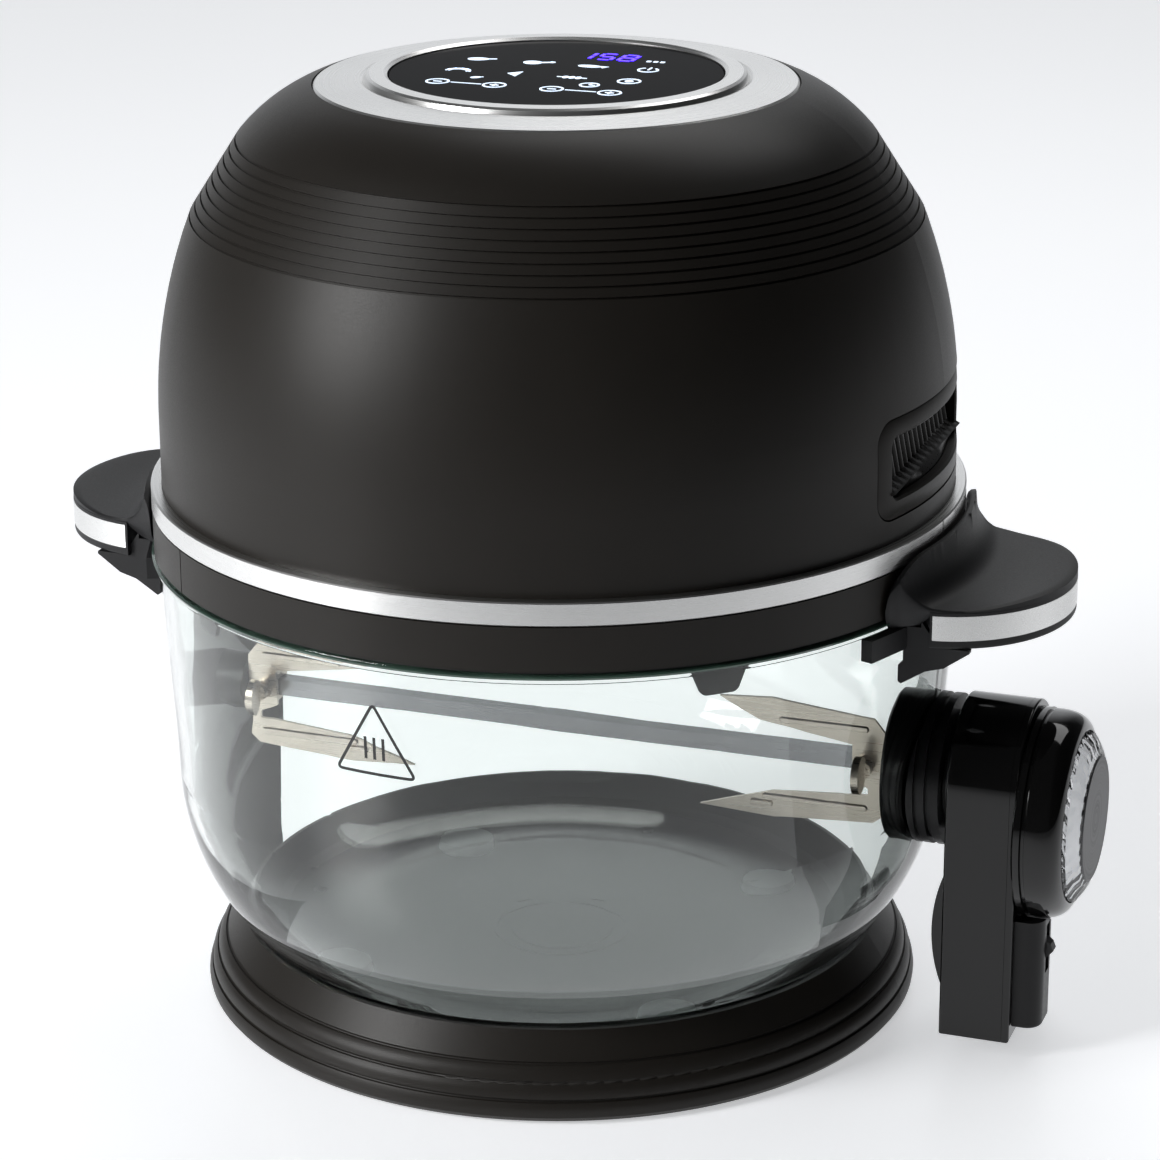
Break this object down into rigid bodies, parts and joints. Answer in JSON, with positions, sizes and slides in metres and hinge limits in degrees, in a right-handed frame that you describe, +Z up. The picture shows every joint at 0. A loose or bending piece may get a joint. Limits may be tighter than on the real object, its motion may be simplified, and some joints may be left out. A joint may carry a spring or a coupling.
{
  "type": "rotisserie oven",
  "caption": "Countertop rotisserie oven: matte black domed heater head on a clear glass bowl in a black base, with side grips, forked spit and clip-on spit motor.",
  "frame": {"origin": "centre of the base's underside, on the face it stands on", "axes": "+X along the spit towards the spit motor, -Y the front, +Z up through the bowl and head"},
  "size_m": [0.4006, 0.304, 0.3497],
  "materials": {
    "matte_black_shell": "fine matte texture",
    "black_grip": "satin moulded",
    "satin_silver": "satin brushed",
    "clear_glass": "clear, polished",
    "panel_glass": "black, polished",
    "gloss_black": "polished moulded",
    "cap_grey": "matte",
    "crystal": "faceted, clear",
    "satin_black": "satin moulded",
    "switch_grip": "ribbed matte",
    "fork_steel": "pressed stainless",
    "rod_steel": "drawn stainless",
    "shield_steel": "pressed stainless",
    "fan_aluminium": "pressed",
    "heater_sheath": "oxidised",
    "motor_steel": "plated",
    "rubber_black": "matte",
    "clear_pad": "translucent silicone",
    "screw_steel": "plated",
    "inner_plastic": "moulded",
    "board_green": "solder mask",
    "gear_plastic": "moulded acetal",
    "cell_wrap": "printed sleeve",
    "contact_steel": "nickel plated"
  },
  "bodies": {
    "base": {"base_shell": "matte_black_shell", "base_plate": "inner_plastic", "base_feet": "rubber_black", "base_screws": "screw_steel", "bowl_pads": "clear_pad"},
    "bowl": {"glass_bowl": "clear_glass", "rim_gasket": "rubber_black", "collar_ring": "matte_black_shell", "handle_bracket_right": "black_grip", "handle_body_right": "black_grip", "handle_trim_right": "satin_silver", "handle_cover_right": "black_grip", "handle_bracket_left": "black_grip", "handle_body_left": "black_grip", "handle_trim_left": "satin_silver", "handle_cover_left": "black_grip", "handle_screws": "screw_steel", "bush_inner": "satin_black", "bush_outer": "satin_black", "bush_washer": "rubber_black", "spit_cup": "inner_plastic"},
    "head": {"head_shell": "matte_black_shell", "trim_ring": "satin_silver", "top_bezel": "satin_silver", "touch_glass": "panel_glass", "control_board": "board_green", "vent_right": "gloss_black", "vent_left": "gloss_black", "cord_gland": "satin_black", "heat_shield": "shield_steel", "locating_tabs": "satin_black", "heating_element": "heater_sheath", "fan_guard": "shield_steel", "motor_bracket": "shield_steel", "fan_motor": "motor_steel", "head_seal": "rubber_black", "motor_screws": "screw_steel"},
    "fan": {"fan_shaft": "rod_steel", "convection_fan": "fan_aluminium", "cooling_fan": "fan_aluminium"},
    "spit": {"spit_rod": "rod_steel"},
    "fork_right_body": {"fork_right": "fork_steel"},
    "fork_left_body": {"fork_left": "fork_steel"},
    "screw_right_body": {"thumb_screw_right": "fork_steel"},
    "screw_left_body": {"thumb_screw_left": "fork_steel"},
    "motor_unit": {"motor_housing": "gloss_black", "housing_cover": "gloss_black", "housing_posts": "inner_plastic", "puck_body": "gloss_black", "crystal_ring": "crystal", "puck_cap": "cap_grey", "switch_block": "satin_black", "battery_contacts": "contact_steel", "batteries": "cell_wrap", "gear_motor": "motor_steel"},
    "drive": {"drive_gear": "gear_plastic"},
    "pinion": {"motor_pinion": "gear_plastic"},
    "knob": {"switch_knob": "switch_grip"},
    "battery_door": {"battery_cover": "gloss_black"}
  },
  "joints": [
    {"name": "bowl_lift", "type": "slide", "parent": "base", "child": "bowl", "axis": [0, 0, 1], "range_m": [0, 0.15]},
    {"name": "head_lift", "type": "slide", "parent": "bowl", "child": "head", "axis": [0, 0, 1], "range_m": [0, 0.2]},
    {"name": "fan_spin", "type": "hinge", "parent": "head", "child": "fan", "pos_m": [0, 0, 0.25], "axis": [0, 0, 1], "continuous": true},
    {"name": "spit_spin", "type": "hinge", "parent": "bowl", "child": "spit", "pos_m": [0, 0, 0.1015], "axis": [1, 0, 0], "continuous": true},
    {"name": "fork_right_slide", "type": "slide", "parent": "spit", "child": "fork_right_body", "axis": [-1, 0, 0], "range_m": [0, 0.05]},
    {"name": "fork_left_slide", "type": "slide", "parent": "spit", "child": "fork_left_body", "axis": [1, 0, 0], "range_m": [0, 0.05]},
    {"name": "screw_right_turn", "type": "hinge", "parent": "fork_right_body", "child": "screw_right_body", "pos_m": [0.1204, 0, 0.1015], "axis": [0, 1, 0], "range_deg": [0, 720]},
    {"name": "screw_left_turn", "type": "hinge", "parent": "fork_left_body", "child": "screw_left_body", "pos_m": [-0.1204, 0, 0.1015], "axis": [0, 1, 0], "range_deg": [0, 720]},
    {"name": "motor_pull", "type": "slide", "parent": "bowl", "child": "motor_unit", "axis": [1, 0, 0], "range_m": [0, 0.1]},
    {"name": "drive_spin", "type": "hinge", "parent": "motor_unit", "child": "drive", "pos_m": [0.17, 0, 0.1015], "axis": [1, 0, 0], "continuous": true},
    {"name": "pinion_spin", "type": "hinge", "parent": "motor_unit", "child": "pinion", "pos_m": [0.17, 0, 0.1185], "axis": [1, 0, 0], "continuous": true},
    {"name": "switch_slide", "type": "slide", "parent": "motor_unit", "child": "knob", "axis": [0, 0, 1], "range_m": [-0.005, 0.005]},
    {"name": "battery_door_slide", "type": "slide", "parent": "motor_unit", "child": "battery_door", "axis": [0, 0, -1], "range_m": [0, 0.014]}
  ],
  "couplings": [
    {"joint": "drive_spin", "follows": "spit_spin", "ratio": 1},
    {"joint": "pinion_spin", "follows": "spit_spin", "ratio": -2.4}
  ]
}
